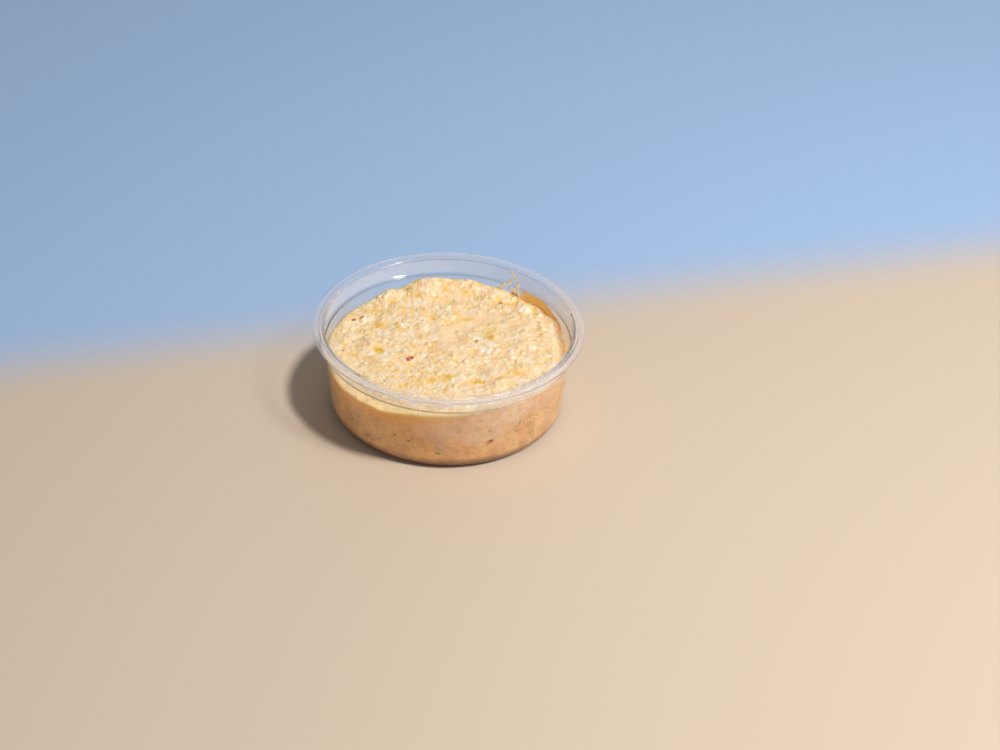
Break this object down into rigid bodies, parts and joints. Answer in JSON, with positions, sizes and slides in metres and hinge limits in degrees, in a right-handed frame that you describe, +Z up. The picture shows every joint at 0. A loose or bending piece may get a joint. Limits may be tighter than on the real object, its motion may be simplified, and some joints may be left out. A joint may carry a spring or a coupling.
{
  "type": "spicy feta dip in a clear tub",
  "caption": "Low round clear plastic tub, open at the top, filled to under its ledge with a crumbly peach-coloured feta and chilli dip.",
  "frame": {"origin": "centre of the tub's flat base, on the surface it stands on", "axes": "+Z up through the middle of the tub's round mouth; -Y is the side that the picture shows in front, +X its right"},
  "size_m": [0.118, 0.118, 0.041],
  "materials": {
    "clear_plastic": "clear, thin and glossy, with a faint lavender haze and bright lines along the rim and the ledge",
    "feta_dip": "moist, crumbly cream cheese, peach-coloured with whiter curds and yellow oil between them",
    "chilli_oil": "thin clear orange oil, wet and glossy",
    "chilli": "flakes of red and brown chilli, satin and slightly wet"
  },
  "bodies": {
    "root": {"tub": "clear_plastic", "dip": "feta_dip"}
  },
  "joints": []
}
